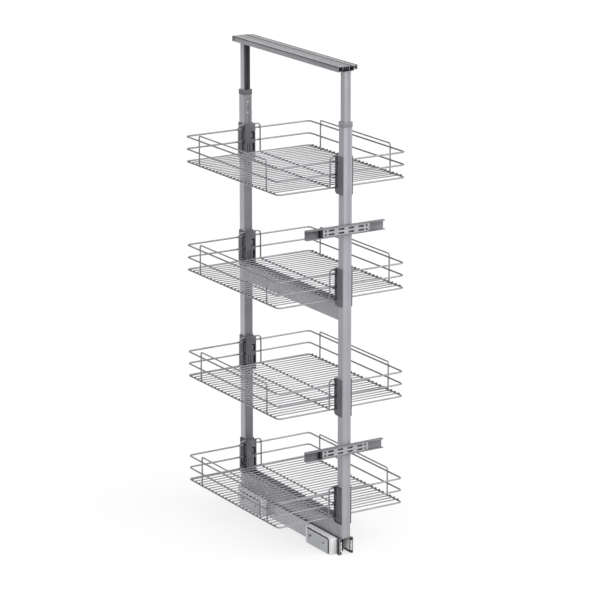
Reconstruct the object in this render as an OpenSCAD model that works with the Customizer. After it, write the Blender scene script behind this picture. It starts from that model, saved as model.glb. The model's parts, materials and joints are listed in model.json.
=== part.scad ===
// Pull-out larder unit with a telescopic frame, four wire baskets and two door brackets.
// Millimetres. +Z is up, the unit pulls out towards -Y, and the origin is on the cabinet floor,
// midway between the floor runner's screw holes.

/* [Baskets] */
// Width of a basket over the wire centres
basket_w = 387; // [300:1:480]
// Length of a basket over the wire centres, front to back
basket_l = 466; // [400:1:520]
// Height of the lowest basket's bottom wire above the floor
basket_z = 101; // [76:1:130]
// Height from one basket to the next
basket_pitch = 297.2; // [260:0.1:320]
// Height of the middle rail above the bottom rail
mid_rail_h = 33.8; // [26:0.1:36]
// Height of the top rail above the bottom rail
top_rail_h = 67.6; // [54:0.1:70]
// Height of the raised side bars and end hoops above the bottom rail
side_bar_h = 79.7; // [75:0.1:95]
// Outer corner radius of the rails, at the wire centre
rail_corner_r = 22; // [12:1:40]
// Diameter of the three rails
rail_d = 4.6; // [4:0.1:5]
// Diameter of the side bars and end hoops
bar_d = 4; // [3:0.1:4.4]
// Diameter of the floor wires
floor_d = 3; // [2.5:0.1:3.6]
// Distance between floor wires
floor_pitch = 17.9; // [14:0.1:24]
// Distance of a side bar's legs from the basket's ends
side_bar_inset = 63; // [30:1:110]
// Distance between the two legs of an end hoop
hoop_span = 68; // [60:1:90]

/* [Uprights] */
// Width of the outer uprights
upright_w = 27; // [25:0.5:34]
// Depth of the outer uprights, front to back
upright_l = 24.5; // [23:0.5:32]
// Wall of the outer uprights
upright_wall = 1.5; // [1:0.1:1.7]
// Height of the outer uprights' top ends above the highest basket's bottom rail
upright_over = 159.4; // [145:0.1:200]
// Wall of the inner uprights
inner_wall = 1.5; // [1.2:0.1:2]
// How far the inner uprights stand out of the collars
inner_out = 128.9; // [20:0.1:300]
// How far the inner uprights reach down inside the outer ones
inner_overlap = 340; // [320:1:500]
// Height of the collars above the outer uprights
collar_h = 13; // [8:1:20]
// Thickness of the collars' skirts, between the outer and the inner uprights
collar_skirt_t = 1.3; // [1:0.1:2]

/* [Runner] */
// Height of the floor runner's two rails
runner_h = 44; // [40:1:44]
// Width over the floor runner's two rails
runner_w = 42.8; // [42.8:0.1:56]
// Sheet thickness of the floor runner
runner_wall = 1.5; // [1.2:0.1:2]
// Diameter of the runner's balls
ball_d = 2.9; // [2.4:0.1:3.2]
// Distance of the floor screw holes from the runner's ends
floor_hole_inset = 111; // [60:1:130]
// Length of a floor bracket
bracket_l = 124; // [100:1:140]
// Width of a floor bracket
bracket_w = 18; // [14:1:26]

/* [Top rail] */
// Height of the top rail's profile
top_rail_t = 14.6; // [13:0.1:18]
// Width over the top rail's chamber
top_chamber_w = 48.8; // [40:0.1:56]
// Diameter of the two guide rollers
roller_d = 18; // [16:0.1:24]
// Width of the fixing flange along the top rail's right side
top_flange_w = 9.6; // [8:0.1:16]
// Distance of the two screw holes of the top rail from its ends
top_hole_inset = 49; // [20:1:120]

/* [Door brackets] */
// Length of a door bracket's rail
door_rail_l = 239; // [210:1:280]
// Height of a door bracket's rail
door_rail_h = 26; // [24:0.5:32]
// Depth of a door bracket's rail
door_rail_t = 11; // [9:0.5:16]
// Length of the sliding door plate
door_plate_l = 142; // [136:1:150]
// Thickness of the sliding door plate
door_plate_t = 2; // [1.5:0.1:3]
// Height of the lower door bracket's centre
door_low_z = 293; // [230:1:330]
// Height from the lower to the upper door bracket
door_pitch = 593; // [500:1:620]

/* [Hidden] */

// Clearances
weld = 0.03;          // between wires that are welded where they cross
seat = 0.05;          // between a basket's bottom rail and the holder it rests on
slide_gap = 0.3;      // between pieces that slide past each other
slot_gap = 0.7;       // between a rail and the upright behind it
plate_gap = 0.5;      // between a hoop and the holder's plate in front of it
grip_gap = 0.1;       // between a holder or collar and the upright it grips

// Basket wires, measured from the centre of the bottom rail
rail_x = round(basket_w * 50) / 100;                  // whole hundredths, so that the bends meet the straights
rail_y = round(basket_l * 50) / 100;
hoop_y = rail_y - rail_d / 2 - bar_d / 2 - weld;
side_bar_x = rail_x - rail_d / 2 - bar_d / 2 - weld;
floor_wire_z = rail_d / 2 + floor_d / 2 + weld;
long_wire_z = floor_wire_z - floor_d / 2 - bar_d / 2 - weld;
side_bar_y = rail_y - side_bar_inset;
floor_half = floor((hoop_y - bar_d / 2 - floor_d / 2 - 6) / floor_pitch);
hoop_r = 10;          // bend at the top of a hoop
hoop_foot_r = 6;      // bend from a hoop into the floor
side_bar_r = 5;       // bend at the top of a side bar

// Uprights
upright_y = rail_y + rail_d / 2 + slot_gap;           // inner face
upright_cy = upright_y + upright_l / 2;
upright_r = 2.5;                                      // outer corner radius
upright_foot = runner_h + 1;                          // bottom end
bore_w = upright_w - 2 * upright_wall;
bore_l = upright_l - 2 * upright_wall;
collar_rim = 1.1;                                     // how far a collar stands proud of its upright
collar_skirt = 38;                                    // how far it reaches down inside
collar_play = 0.25;                                   // around the inner upright
inner_w = bore_w - 2 * (grip_gap + collar_skirt_t + collar_play);
inner_l = bore_l - 2 * (grip_gap + collar_skirt_t + collar_play);
inner_r = 1.6;
upright_top = basket_z + 3 * basket_pitch + upright_over;
screw_zs = [upright_top - 20, upright_top - 48];      // locking screws
screw_d = 5;

// Holders
holder_wall = 2.35;
holder_plate_t = 2.6;
holder_w = upright_w + 2 * (grip_gap + holder_wall);
holder_plate_y = hoop_y - bar_d / 2 - plate_gap;      // the plate's outer face
holder_drop = 17.5;                                   // how far the sides reach below the bottom rail
holder_seat = rail_d / 2 + 3.2;                       // how far the seat reaches below it
holder_rise = side_bar_h + bar_d / 2 + 0.5;           // above it
holder_reach = upright_l - 1;                         // along the upright's sides

// Crossbars, each just under a pair of holders' seats
crossbar_w = upright_w - 1;
crossbar_gap = 0.5;
crossbar_h = basket_z - holder_seat - crossbar_gap - upright_foot;

// Top edge of the crossbar under basket k
function crossbar_top(k) = basket_z + (k - 1) * basket_pitch - holder_seat - crossbar_gap;

// Floor runner: per side a fixed rail, a row of balls, a middle rail, a row of balls, the carriage
runner_y = upright_y + upright_l + 0.5;               // half its length
web_x = runner_w / 2 - runner_wall;                   // inner face of a fixed rail's web
ball_gap = ball_d + slide_gap;
mid_t = 2.5;
mid_x = web_x - ball_gap;                             // outer face of a middle rail
carriage_x = mid_x - mid_t - ball_gap;                // outer face of the carriage's walls
lip_x = upright_w / 2 + 0.8;                          // inner edge of the fixed rails' flanges
mid_z = [8, runner_h - 8];
cage_l = 288;
cage_t = 1;
cage_z = [11, runner_h - 11];
ball_rows = [15, runner_h - 15];
ball_count = 7;
stop_l = 46;
stop_h = 5.5;
tie_l = 46;
floor_hole_y = runner_y - floor_hole_inset;
floor_hole_d = 4.4;
floor_hole_x = 6;

// Floor brackets, on the left side of the runner
bracket_x = -runner_w / 2 - bracket_w;                // outer face
bracket_h = runner_h + 1;
bracket_ys = [-runner_y + 77, runner_y - 96];         // centres
bracket_plate_l = bracket_l - 22;
bracket_plate_h = bracket_h - 4;
bracket_plate_t = 1.5;
bracket_gasket_t = 1.2;
bracket_gasket_rim = 1.6;                             // how far the gasket shows around the plate
bracket_screw_d = 6;
bracket_screw_y = [24, -12] + [-1, 1] * bracket_plate_l / 2;   // from the plate's centre
bracket_screw_z = bracket_h / 2 + 1.5;

// Upper frame and top rail
inner_top = upright_top + collar_h + inner_out;       // top end of the inner uprights
inner_len = inner_out + collar_h + inner_overlap;
dimple_d = 4;                                         // pressed dimples at the inner uprights' top ends
top_rail_z = inner_top + top_rail_t + 0.1;            // top face of the top rail
strip_t = 2;
strip_edge = 8;                                       // half width of the stiffening channel
roller_y = upright_cy - 4;
roller_z = inner_top + strip_t + 1.1;
axle_d = 6;
strip_y = upright_y + upright_l - 2;                  // half the strip's length
carriage_l = 2 * (strip_y - roller_y);                // black block under each roller
carriage_t = 0.8;
top_wall = 1.5;
top_plate_t = 2;
roller_t = top_rail_z - top_plate_t - 1.2 - roller_z;
chamber_x = top_chamber_w / 2 - top_wall;             // inner half width of the top rail
track_x = roller_d / 2 + slide_gap;                   // inner faces of the rollers' track
top_lip_x = inner_w / 2 + 2.5;                        // inner edges of its two lips
top_front = -(upright_y + upright_l - 10.5);
top_back = upright_y + upright_l + 13.5;
end_cap_l = 6;

// Door brackets, on the front face of the front upright
door_y = -(upright_y + upright_l);                    // back face of a bracket's rail
door_rail_x = -11.5 - door_rail_l / 2;                // left end
door_sheet = 1.5;
door_lip = 2.6;
door_plate_x = -10 - door_plate_l / 2;                // left end
door_plate_h = door_rail_h - 2 * door_sheet - 2 * slide_gap;
door_plate_y = door_y - door_rail_t + door_sheet + slide_gap;
door_stop_l = 8.6;
door_slot_l = 18;
door_slot_w = 5;
door_row_z = 5;                                       // rows of slots above and below the centre
door_hole_d = 6;                                      // round holes at both ends of each row
door_end_x = door_plate_l / 2 - 9;
door_slot_pitch = (door_end_x - 17) / 1.5;
door_screw_z = 7;

// ---------------------------------------------------------------- helpers

// Points of an arc, four chords to a quarter turn
function arc(cx, cy, r, a0, a1) =
    [for (i = [0:4]) let (a = a0 + (a1 - a0) * i / 4) [cx + r * cos(a), cy + r * sin(a)]];

// Outline of a rectangle with round corners, centred
function round_rect(w, l, r) = concat(
    arc(w / 2 - r, l / 2 - r, r, 0, 90), arc(-w / 2 + r, l / 2 - r, r, 90, 180),
    arc(-w / 2 + r, -l / 2 + r, r, 180, 270), arc(w / 2 - r, -l / 2 + r, r, 270, 360));

// Box from its lowest to its highest corner
module box(low, high) {
    translate(low) cube(high - low);
}

// Rod of diameter d from point a to point b, both along one axis
module rod(a, b, d) {
    u = (b - a) / norm(b - a);
    s = abs(u.z) > 0.5 ? [1, 0, 0] : [0, 0, 1];
    t = cross(u, s);
    multmatrix([[s.x, t.x, u.x, a.x], [s.y, t.y, u.y, a.y], [s.z, t.z, u.z, a.z], [0, 0, 0, 1]])
        mirror([1, 0, 0]) cylinder(h = norm(b - a), d = d, $fn = 24);
}

// Quarter bend of a wire at corner p, from direction u into direction v
module bend(p, u, v, r, d) {
    c = p - r * u + r * v;
    w = cross(u, v);
    multmatrix([[-v.x, u.x, w.x, c.x], [-v.y, u.y, w.y, c.y], [-v.z, u.z, w.z, c.z], [0, 0, 0, 1]])
        rotate_extrude(angle = 90, $fn = 48) translate([r, 0]) circle(d = d, $fn = 24);
}

// Wire of diameter d through points that turn by right angles, with bend radius rs[i] at point i
module bent_wire(points, rs, d, closed = false) {
    n = len(points);
    last = closed ? n - 1 : n - 2;
    for (i = [0:last]) {
        a = points[i];
        b = points[(i + 1) % n];
        c = points[(i + 2) % n];
        u = (b - a) / norm(b - a);
        start = closed || i > 0 ? rs[i] : 0;
        end = closed || i < last ? rs[(i + 1) % n] : 0;
        rod(a + start * u, b - end * u, d);
        if (end > 0) bend(b, u, (c - b) / norm(c - b), end, d);
    }
}

// ---------------------------------------------------------------- floor runner

module floor_runner() {
    color("lightgray") difference() {
        union() {
            for (s = [-1, 1]) mirror([s < 0 ? 1 : 0, 0, 0]) {
                box([web_x, -runner_y, 0], [runner_w / 2, runner_y, runner_h]);
                for (z = [0, runner_h - runner_wall])
                    box([lip_x, -runner_y, z], [web_x, runner_y, z + runner_wall]);
            }
            for (y = [-1, 1] * floor_hole_y)
                box([-lip_x, y - tie_l / 2, 0], [lip_x, y + tie_l / 2, runner_wall]);
        }
        for (x = [-1, 1] * floor_hole_x, y = [-1, 1] * floor_hole_y)
            translate([x, y, -1]) cylinder(h = runner_wall + 2, d = floor_hole_d, $fn = 32);
    }
}

// Black blocks at the front ends of the two fixed rails
module runner_stops() {
    color("#202022") for (s = [-1, 1]) mirror([s < 0 ? 1 : 0, 0, 0]) {
        box([lip_x, -runner_y, runner_wall], [web_x, -runner_y + stop_l, runner_wall + stop_h]);
        box([lip_x, -runner_y, runner_h - runner_wall - stop_h],
            [web_x, -runner_y + stop_l, runner_h - runner_wall]);
    }
}

module bracket_body(y) {
    grooves = 3;
    color("whitesmoke") difference() {
        box([bracket_x, y - bracket_l / 2, 0], [-runner_w / 2, y + bracket_l / 2, bracket_h]);
        for (i = [1:grooves]) {
            x = bracket_x + bracket_w * i / (grooves + 1);
            box([x - 1.2, y - bracket_l / 2 - 1, bracket_h - 2], [x + 1.2, y + bracket_l / 2 + 1, bracket_h + 1]);
        }
        for (dy = bracket_screw_y) translate([bracket_x - 1, y + dy, bracket_screw_z])
            rotate([0, 90, 0]) cylinder(h = 12, d = 3.2, $fn = 24);
    }
}

// Outline of a bracket's plate, seen from its left, with one round upper corner at the front
module bracket_outline(grow) {
    l = bracket_plate_l / 2 + grow;
    h = bracket_plate_h + grow;
    r = 6 + grow;
    polygon(concat([[l, 0], [l, h]], arc(-l + r, h - r, r, 90, 180), [[-l, 0]]));
}

module bracket_sheet(y, x, t, grow) {
    difference() {
        translate([x, y, 0.5]) rotate([90, 0, 90]) linear_extrude(t) bracket_outline(grow);
        for (dy = bracket_screw_y) translate([x - 1, y + dy, bracket_screw_z])
            rotate([0, 90, 0]) cylinder(h = t + 2, d = 3.4, $fn = 24);
    }
}

module bracket_gasket(y) {
    color("#202022") bracket_sheet(y, bracket_x - bracket_gasket_t, bracket_gasket_t, bracket_gasket_rim);
}

module bracket_plate(y) {
    color("darkgray")
        bracket_sheet(y, bracket_x - bracket_gasket_t - bracket_plate_t, bracket_plate_t, 0);
}

module bracket_screws() {
    head_x = bracket_x - bracket_gasket_t - bracket_plate_t;
    color("#303034") for (y = bracket_ys, dy = bracket_screw_y)
        translate([head_x, y + dy, bracket_screw_z]) rotate([0, 90, 0]) difference() {
            union() {
                translate([0, 0, -2]) cylinder(h = 2, d = bracket_screw_d, $fn = 32);
                cylinder(h = 12, d = 3, $fn = 24);
            }
            translate([0, 0, -3]) cylinder(h = 2, d = 3, $fn = 6);
        }
}

// Two bars that run between the fixed rails and the carriage, with a groove for each row of balls
module runner_mids() {
    color("silver") for (s = [-1, 1]) mirror([s < 0 ? 1 : 0, 0, 0]) difference() {
        box([mid_x - mid_t, -runner_y, mid_z[0]], [mid_x, runner_y, mid_z[1]]);
        for (z = ball_rows, x = [mid_x, mid_x - mid_t])
            translate([x, 0, z]) rotate([45, 0, 90]) cube([2 * runner_y + 2, 0.9, 0.9], center = true);
    }
}

// Ball cage: a strip on each side of the runner, with its balls, centred at distance x
module ball_cage(x) {
    color("#202022") for (s = [-1, 1]) {
        box([s * x - cage_t / 2, -cage_l / 2, cage_z[0]], [s * x + cage_t / 2, cage_l / 2, cage_z[1]]);
        for (z = ball_rows, i = [0:ball_count - 1])
            translate([s * x, (i / (ball_count - 1) - 0.5) * (cage_l - 16), z]) sphere(d = ball_d, $fn = 24);
    }
}

module cage_outer() {
    ball_cage(web_x - ball_gap / 2);
}

module cage_inner() {
    ball_cage(mid_x - mid_t - ball_gap / 2);
}

// Sheet channel that hangs between the middle rails and carries the frame
module runner_carriage() {
    top = [runner_h - 1, upright_foot];
    color("gainsboro") {
        box([-upright_w / 2, -runner_y, top[0]], [upright_w / 2, runner_y, top[1]]);
        for (s = [-1, 1]) mirror([s < 0 ? 1 : 0, 0, 0])
            box([carriage_x - runner_wall, -runner_y, 10], [carriage_x, runner_y, top[0]]);
    }
}

// ---------------------------------------------------------------- lower frame

// Channel open at the top, from one upright to the other, with its top edge at height z
module crossbar(z) {
    x = crossbar_w / 2;
    color("darkgray") difference() {
        box([-x, -upright_y, z - crossbar_h], [x, upright_y, z]);
        box([-x + upright_wall, -upright_y - 1, z - crossbar_h + upright_wall],
            [x - upright_wall, upright_y + 1, z + 1]);
    }
}

// s is -1 for the front upright and 1 for the back one
module upright_outer(s) {
    color("#a3a3a9") difference() {
        translate([0, s * upright_cy, upright_foot]) linear_extrude(upright_top - upright_foot)
            polygon(round_rect(upright_w, upright_l, upright_r));
        translate([0, s * upright_cy, upright_foot - 1]) linear_extrude(upright_top - upright_foot + 2)
            polygon(round_rect(bore_w, bore_l, upright_r - upright_wall));
        for (z = screw_zs) translate([0, s * (upright_y - 1), z]) rotate([-90 * s, 0, 0])
            cylinder(h = upright_wall + 2, d = screw_d + 0.2, $fn = 32);
    }
}

module collar(s) {
    color("dimgray") translate([0, s * upright_cy, 0]) difference() {
        union() {
            translate([0, 0, upright_top]) linear_extrude(collar_h)
                polygon(round_rect(upright_w + 2 * collar_rim, upright_l + 2 * collar_rim, upright_r + collar_rim));
            translate([0, 0, upright_top - collar_skirt]) linear_extrude(collar_skirt)
                polygon(round_rect(bore_w - 2 * grip_gap, bore_l - 2 * grip_gap, 0.9));
        }
        translate([0, 0, upright_top - collar_skirt - 1]) linear_extrude(collar_skirt + collar_h + 2)
            polygon(round_rect(inner_w + 2 * collar_play, inner_l + 2 * collar_play, inner_r + collar_play));
        // Way for the upper locking screw
        translate([0, -s * upright_l / 2, screw_zs[0]]) rotate([-90 * s, 0, 0])
            cylinder(h = upright_l / 2, d = screw_d + 1, $fn = 32);
    }
}

// Set screws in the uprights' inner faces, which clamp the inner uprights
module locking_screws() {
    tip = upright_l / 2 + inner_l / 2 - inner_wall - slide_gap;
    color("silver") for (s = [-1, 1], z = screw_zs)
        translate([0, s * upright_y, z]) rotate([-90 * s, 0, 0]) difference() {
            translate([0, 0, 0.2]) cylinder(h = tip - 0.2, d = screw_d, $fn = 32);
            translate([0, 0, -1]) cylinder(h = 4, d = 2.9, $fn = 6);
        }
}

// ---------------------------------------------------------------- basket holders

// Saddle that grips the upright's sides, with a plate that stands in front of it. The basket's
// rails and hoop drop into the open channel between the plate and the upright.
module holder_shape() {
    y0 = holder_plate_y - holder_plate_t;
    side_x = upright_w / 2 + grip_gap;
    end_x = holder_w / 2;
    back_y = upright_y + holder_reach;
    top_panel = [mid_rail_h + 4, top_rail_h - 4];
    low_panel = [4, mid_rail_h - 4];
    difference() {
        union() {
            box([-end_x, y0, -holder_seat], [end_x, holder_plate_y, holder_rise]);
            box([-end_x, holder_plate_y, -holder_seat], [end_x, upright_y, -rail_d / 2 - seat]);
            for (s = [-1, 1]) mirror([s < 0 ? 1 : 0, 0, 0]) {
                box([side_x, upright_y, -holder_drop], [end_x, back_y, holder_rise]);
                box([side_x, y0, -holder_drop], [end_x, upright_y, -holder_seat]);
            }
        }
        // Latch slots in the plate, an L above and a straight one below
        box([end_x - 6, y0 - 1, top_panel[0] + 2], [end_x - 3, holder_plate_y + 1, top_panel[1] - 4]);
        box([end_x - 14, y0 - 1, top_panel[0] + 2], [end_x - 3, holder_plate_y + 1, top_panel[0] + 4.5]);
        box([end_x - 6, y0 - 1, low_panel[0] + 2], [end_x - 3, holder_plate_y + 1, low_panel[1] - 1]);
        // Windows in the sides between the rails, and a shallow panel behind each
        for (s = [-1, 1], z = [low_panel, top_panel]) mirror([s < 0 ? 1 : 0, 0, 0]) {
            box([side_x - 1, upright_y + 1.5, z[0]], [end_x + 1, upright_y + 4.5, z[1]]);
            box([end_x - 0.8, upright_y + 7, z[0]], [end_x + 1, back_y - 3, z[1]]);
        }
        // Slanted lower front corners of the sides
        for (s = [-1, 1]) translate([s * end_x, y0, -holder_drop])
            rotate([45, 0, 0]) cube([8, 8, 8], center = true);
    }
}

// k counts the baskets from the floor
module holder(s, k) {
    color("#6c6c72") translate([0, 0, basket_z + (k - 1) * basket_pitch])
        rotate([0, 0, s < 0 ? 180 : 0]) holder_shape();
}

// ---------------------------------------------------------------- baskets

module basket_rails(k) {
    x = rail_x;
    color("silver") for (h = [0, mid_rail_h, top_rail_h]) translate([0, 0, basket_z + (k - 1) * basket_pitch + h])
        bent_wire([[x, -rail_y, 0], [x, rail_y, 0], [-x, rail_y, 0], [-x, -rail_y, 0]],
                  [for (i = [0:3]) rail_corner_r], rail_d, closed = true);
}

module basket_floor(k) {
    x = rail_x + rail_d / 2;
    z = basket_z + (k - 1) * basket_pitch + floor_wire_z;
    color("silver") for (i = [-floor_half:floor_half])
        rod([-x, i * floor_pitch, z], [x, i * floor_pitch, z], floor_d);
}

module basket_side_bars(k) {
    y = side_bar_y;
    foot = -rail_d / 2 + 0.1;
    color("silver") translate([0, 0, basket_z + (k - 1) * basket_pitch]) for (x = [-1, 1] * side_bar_x)
        bent_wire([[x, -y, foot], [x, -y, side_bar_h], [x, y, side_bar_h], [x, y, foot]],
                  [0, side_bar_r, side_bar_r, 0], bar_d);
}

// One long wire loop: a hoop at each end, joined by two wires under the floor
module basket_hoops(k) {
    x = hoop_span / 2;
    color("silver") translate([0, 0, basket_z + (k - 1) * basket_pitch])
        bent_wire([[-x, -hoop_y, long_wire_z], [-x, -hoop_y, side_bar_h], [x, -hoop_y, side_bar_h],
                   [x, -hoop_y, long_wire_z], [x, hoop_y, long_wire_z], [x, hoop_y, side_bar_h],
                   [-x, hoop_y, side_bar_h], [-x, hoop_y, long_wire_z]],
                  [hoop_foot_r, hoop_r, hoop_r, hoop_foot_r, hoop_foot_r, hoop_r, hoop_r, hoop_foot_r],
                  bar_d, closed = true);
}

// ---------------------------------------------------------------- upper frame and top rail

// Channel with its open side towards the middle of the unit
module upright_inner(s) {
    hollow = [inner_w - 2 * inner_wall, inner_l + 1 - inner_wall];
    color("#aaaab0") translate([0, s * upright_cy, inner_top]) difference() {
        translate([0, 0, -inner_len]) linear_extrude(inner_len) difference() {
            polygon(round_rect(inner_w, inner_l, inner_r));
            translate([0, -s * (1 + inner_wall) / 2]) square(hollow, center = true);
            // Shallow groove down the closed face
            translate([0, s * inner_l / 2]) square([5, 0.8], center = true);
        }
        for (z = [-6, -16]) {
            translate([-inner_w / 2 - 1, 0, z]) rotate([0, 90, 0]) cylinder(h = 1.8, d = dimple_d, $fn = 24);
            translate([0, s * (inner_l / 2 + 1), z]) rotate([90 * s, 0, 0])
                cylinder(h = 1.9, d = dimple_d, $fn = 24);
        }
    }
}

// Strip across both inner uprights, with a stiffening channel between the rollers
module top_bar() {
    z = inner_top + strip_t;
    bar_y = roller_y - carriage_l / 2 - 2;
    bar_h = 5;
    color("darkgray") difference() {
        union() {
            box([-inner_w / 2, -strip_y, inner_top], [inner_w / 2, strip_y, z]);
            box([-strip_edge, -bar_y, z], [strip_edge, bar_y, z + bar_h]);
        }
        box([-strip_edge + top_wall, -bar_y - 1, z], [strip_edge - top_wall, bar_y + 1, z + bar_h - top_wall]);
        for (s = [-1, 1]) translate([0, s * roller_y, inner_top - 1])
            cylinder(h = strip_t + 2, d = axle_d - 2, $fn = 32);
    }
}

// Black blocks on the strip, with the upright axles of the guide rollers
module roller_axles() {
    z = inner_top + strip_t;
    head_z = roller_z + roller_t + 0.2;
    color("#202022") for (s = [-1, 1]) translate([0, s * roller_y, 0]) {
        translate([0, 0, inner_top]) cylinder(h = strip_t, d = axle_d - 2, $fn = 32);
        box([-inner_w / 2 + 1, -carriage_l / 2, z], [inner_w / 2 - 1, carriage_l / 2, z + carriage_t]);
        translate([0, 0, z + carriage_t]) cylinder(h = head_z - z - carriage_t, d = axle_d, $fn = 32);
        translate([0, 0, head_z]) cylinder(h = 0.5, d = axle_d + 4, $fn = 32);
    }
}

// Crowned wheel on an upright axle
module guide_roller(s) {
    r = roller_d / 2;
    hub_r = r - 3.5;
    color("#202022") translate([0, s * roller_y, roller_z]) rotate_extrude($fn = 64)
        polygon([[axle_d / 2 + 0.06, 0], [hub_r, 0], [hub_r, 1], [r - 2, 1], [r - 2, 0], [r - 0.8, 0], [r, 0.8],
                 [r, roller_t - 0.8], [r - 0.8, roller_t], [r - 2, roller_t], [r - 2, roller_t - 1],
                 [hub_r, roller_t - 1], [hub_r, roller_t], [axle_d / 2 + 0.06, roller_t]]);
}

// Section of the top rail in X and Z, measured from its top face: a chamber that opens downwards,
// the rollers' track inside it, and a fixing flange along the right side
module top_rail_section() {
    w = chamber_x + top_wall;
    right = w + top_flange_w;
    difference() {
        union() {
            translate([-w, -top_plate_t]) square([w + right, top_plate_t]);
            for (x = [-w, chamber_x]) translate([x, -top_rail_t]) square([top_wall, top_rail_t]);
            for (x = [-w, top_lip_x]) translate([x, -top_rail_t]) square([w - top_lip_x, top_wall]);
            for (x = [-track_x - top_wall, track_x])
                translate([x, -top_rail_t + strip_t + 1]) square([top_wall, top_rail_t - strip_t - 1]);
            translate([right - top_wall, -top_rail_t + 2]) square([top_wall, top_rail_t - 2]);
        }
        // Fine grooves along the top face, and one along the left side
        for (x = [-w + 9, -w + 19, 0, w - 19, w - 9]) translate([x, 0]) square([1.4, 1.2], center = true);
        translate([-w, -4.6]) square([1.2, 1.2], center = true);
    }
}

module top_rail() {
    flange_x = chamber_x + top_wall + (top_flange_w - top_wall) / 2;
    color("#b4b4b8") difference() {
        translate([0, top_back - end_cap_l, top_rail_z]) rotate([90, 0, 0])
            linear_extrude(top_back - end_cap_l - top_front) top_rail_section();
        for (y = [top_front + top_hole_inset, top_back - top_hole_inset])
            translate([flange_x, y, top_rail_z - top_plate_t - 1])
                cylinder(h = top_plate_t + 2, d = 4.5, $fn = 32);
    }
}

module top_rail_end_cap() {
    w = chamber_x + top_wall;
    color("gray") difference() {
        box([-w - 1, top_back - end_cap_l, top_rail_z - top_rail_t], [w, top_back, top_rail_z - 0.4]);
        for (i = [0:2]) box([-w - 2, top_back - end_cap_l + 1 + 1.8 * i, top_rail_z - top_rail_t + 2],
                            [-w, top_back - end_cap_l + 1.8 + 1.8 * i, top_rail_z - 2]);
    }
}

// ---------------------------------------------------------------- door brackets

// Channel that opens to the front, with a lip along both edges
module door_rail(z) {
    h = door_rail_h / 2;
    x = door_rail_x;
    color("gray") translate([x, door_y, z]) difference() {
        box([0, -door_rail_t, -h], [door_rail_l, 0, h]);
        box([-1, -door_rail_t + door_sheet, -h + door_sheet], [door_rail_l + 1, -door_sheet, h - door_sheet]);
        box([-1, -door_rail_t - 1, -h + door_lip], [door_rail_l + 1, -door_rail_t + door_sheet + 1, h - door_lip]);
        for (dz = [-1, 1] * door_screw_z) translate([-x, -door_sheet - 1, dz]) rotate([-90, 0, 0])
            cylinder(h = door_sheet + 2, d = 4.4, $fn = 32);
    }
}

// Slot along X, cut through the door plate
module door_slot(x, z) {
    translate([x, 0, z]) {
        cube([door_slot_l - door_slot_w, 3 * door_plate_t, door_slot_w], center = true);
        for (s = [-1, 1]) translate([s * (door_slot_l - door_slot_w) / 2, 0, 0]) rotate([90, 0, 0])
            cylinder(h = 3 * door_plate_t, d = door_slot_w, center = true, $fn = 32);
    }
}

module door_plate(z) {
    color("#c8c8cc") translate([door_plate_x + door_plate_l / 2, door_plate_y + door_plate_t / 2, z]) difference() {
        cube([door_plate_l, door_plate_t, door_plate_h], center = true);
        for (i = [-1.5:1.5], r = [-1, 1]) door_slot(i * door_slot_pitch, r * door_row_z);
        for (x = [-1, 1] * door_end_x, r = [-1, 1]) translate([x, 0, r * door_row_z]) rotate([90, 0, 0])
            cylinder(h = 3 * door_plate_t, d = door_hole_d, center = true, $fn = 32);
    }
}

// Black end piece that travels with the plate
module door_stop(z) {
    h = door_plate_h / 2;
    color("#202022") translate([door_plate_x - door_stop_l, 0, z]) {
        box([0, door_plate_y, -h], [door_stop_l, door_plate_y + door_rail_t - 2 * door_sheet - 2 * slide_gap, h]);
        box([1, door_plate_y - 2, -h + door_lip], [door_stop_l - 1, door_plate_y, h - door_lip]);
    }
}

module door_rail_screws() {
    color("silver") for (z = [door_low_z, door_low_z + door_pitch], dz = [-1, 1] * door_screw_z)
        translate([0, door_y - door_sheet, z + dz]) rotate([-90, 0, 0]) difference() {
            union() {
                translate([0, 0, -2]) cylinder(h = 2, d = 7.5, $fn = 32);
                cylinder(h = door_sheet, d = 4, $fn = 32);
            }
            translate([0, 0, -3]) cylinder(h = 2, d = 3.4, $fn = 6);
        }
}

// ---------------------------------------------------------------- the nodes

floor_runner();
runner_stops();
bracket_body(bracket_ys[0]);  // bracket_body_front
bracket_body(bracket_ys[1]);  // bracket_body_back
bracket_gasket(bracket_ys[0]);  // bracket_gasket_front
bracket_gasket(bracket_ys[1]);  // bracket_gasket_back
bracket_plate(bracket_ys[0]);  // bracket_plate_front
bracket_plate(bracket_ys[1]);  // bracket_plate_back
bracket_screws();
runner_mids();
cage_outer();
cage_inner();
runner_carriage();
crossbar(crossbar_top(1));  // crossbar_lower
crossbar(crossbar_top(3));  // crossbar_upper
upright_outer(-1);  // upright_outer_front
upright_outer(1);  // upright_outer_back
collar(-1);  // collar_front
collar(1);  // collar_back
locking_screws();
upright_inner(-1);  // upright_inner_front
upright_inner(1);  // upright_inner_back
top_bar();
roller_axles();
guide_roller(-1);  // guide_roller_front
guide_roller(1);  // guide_roller_back
top_rail();
top_rail_end_cap();
holder(-1, 1);  // holder_front_1
holder(-1, 2);  // holder_front_2
holder(-1, 3);  // holder_front_3
holder(-1, 4);  // holder_front_4
holder(1, 1);  // holder_back_1
holder(1, 2);  // holder_back_2
holder(1, 3);  // holder_back_3
holder(1, 4);  // holder_back_4
basket_rails(1);  // basket_1_rails
basket_floor(1);  // basket_1_floor
basket_side_bars(1);  // basket_1_side_bars
basket_hoops(1);  // basket_1_hoops
basket_rails(2);  // basket_2_rails
basket_floor(2);  // basket_2_floor
basket_side_bars(2);  // basket_2_side_bars
basket_hoops(2);  // basket_2_hoops
basket_rails(3);  // basket_3_rails
basket_floor(3);  // basket_3_floor
basket_side_bars(3);  // basket_3_side_bars
basket_hoops(3);  // basket_3_hoops
basket_rails(4);  // basket_4_rails
basket_floor(4);  // basket_4_floor
basket_side_bars(4);  // basket_4_side_bars
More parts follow.
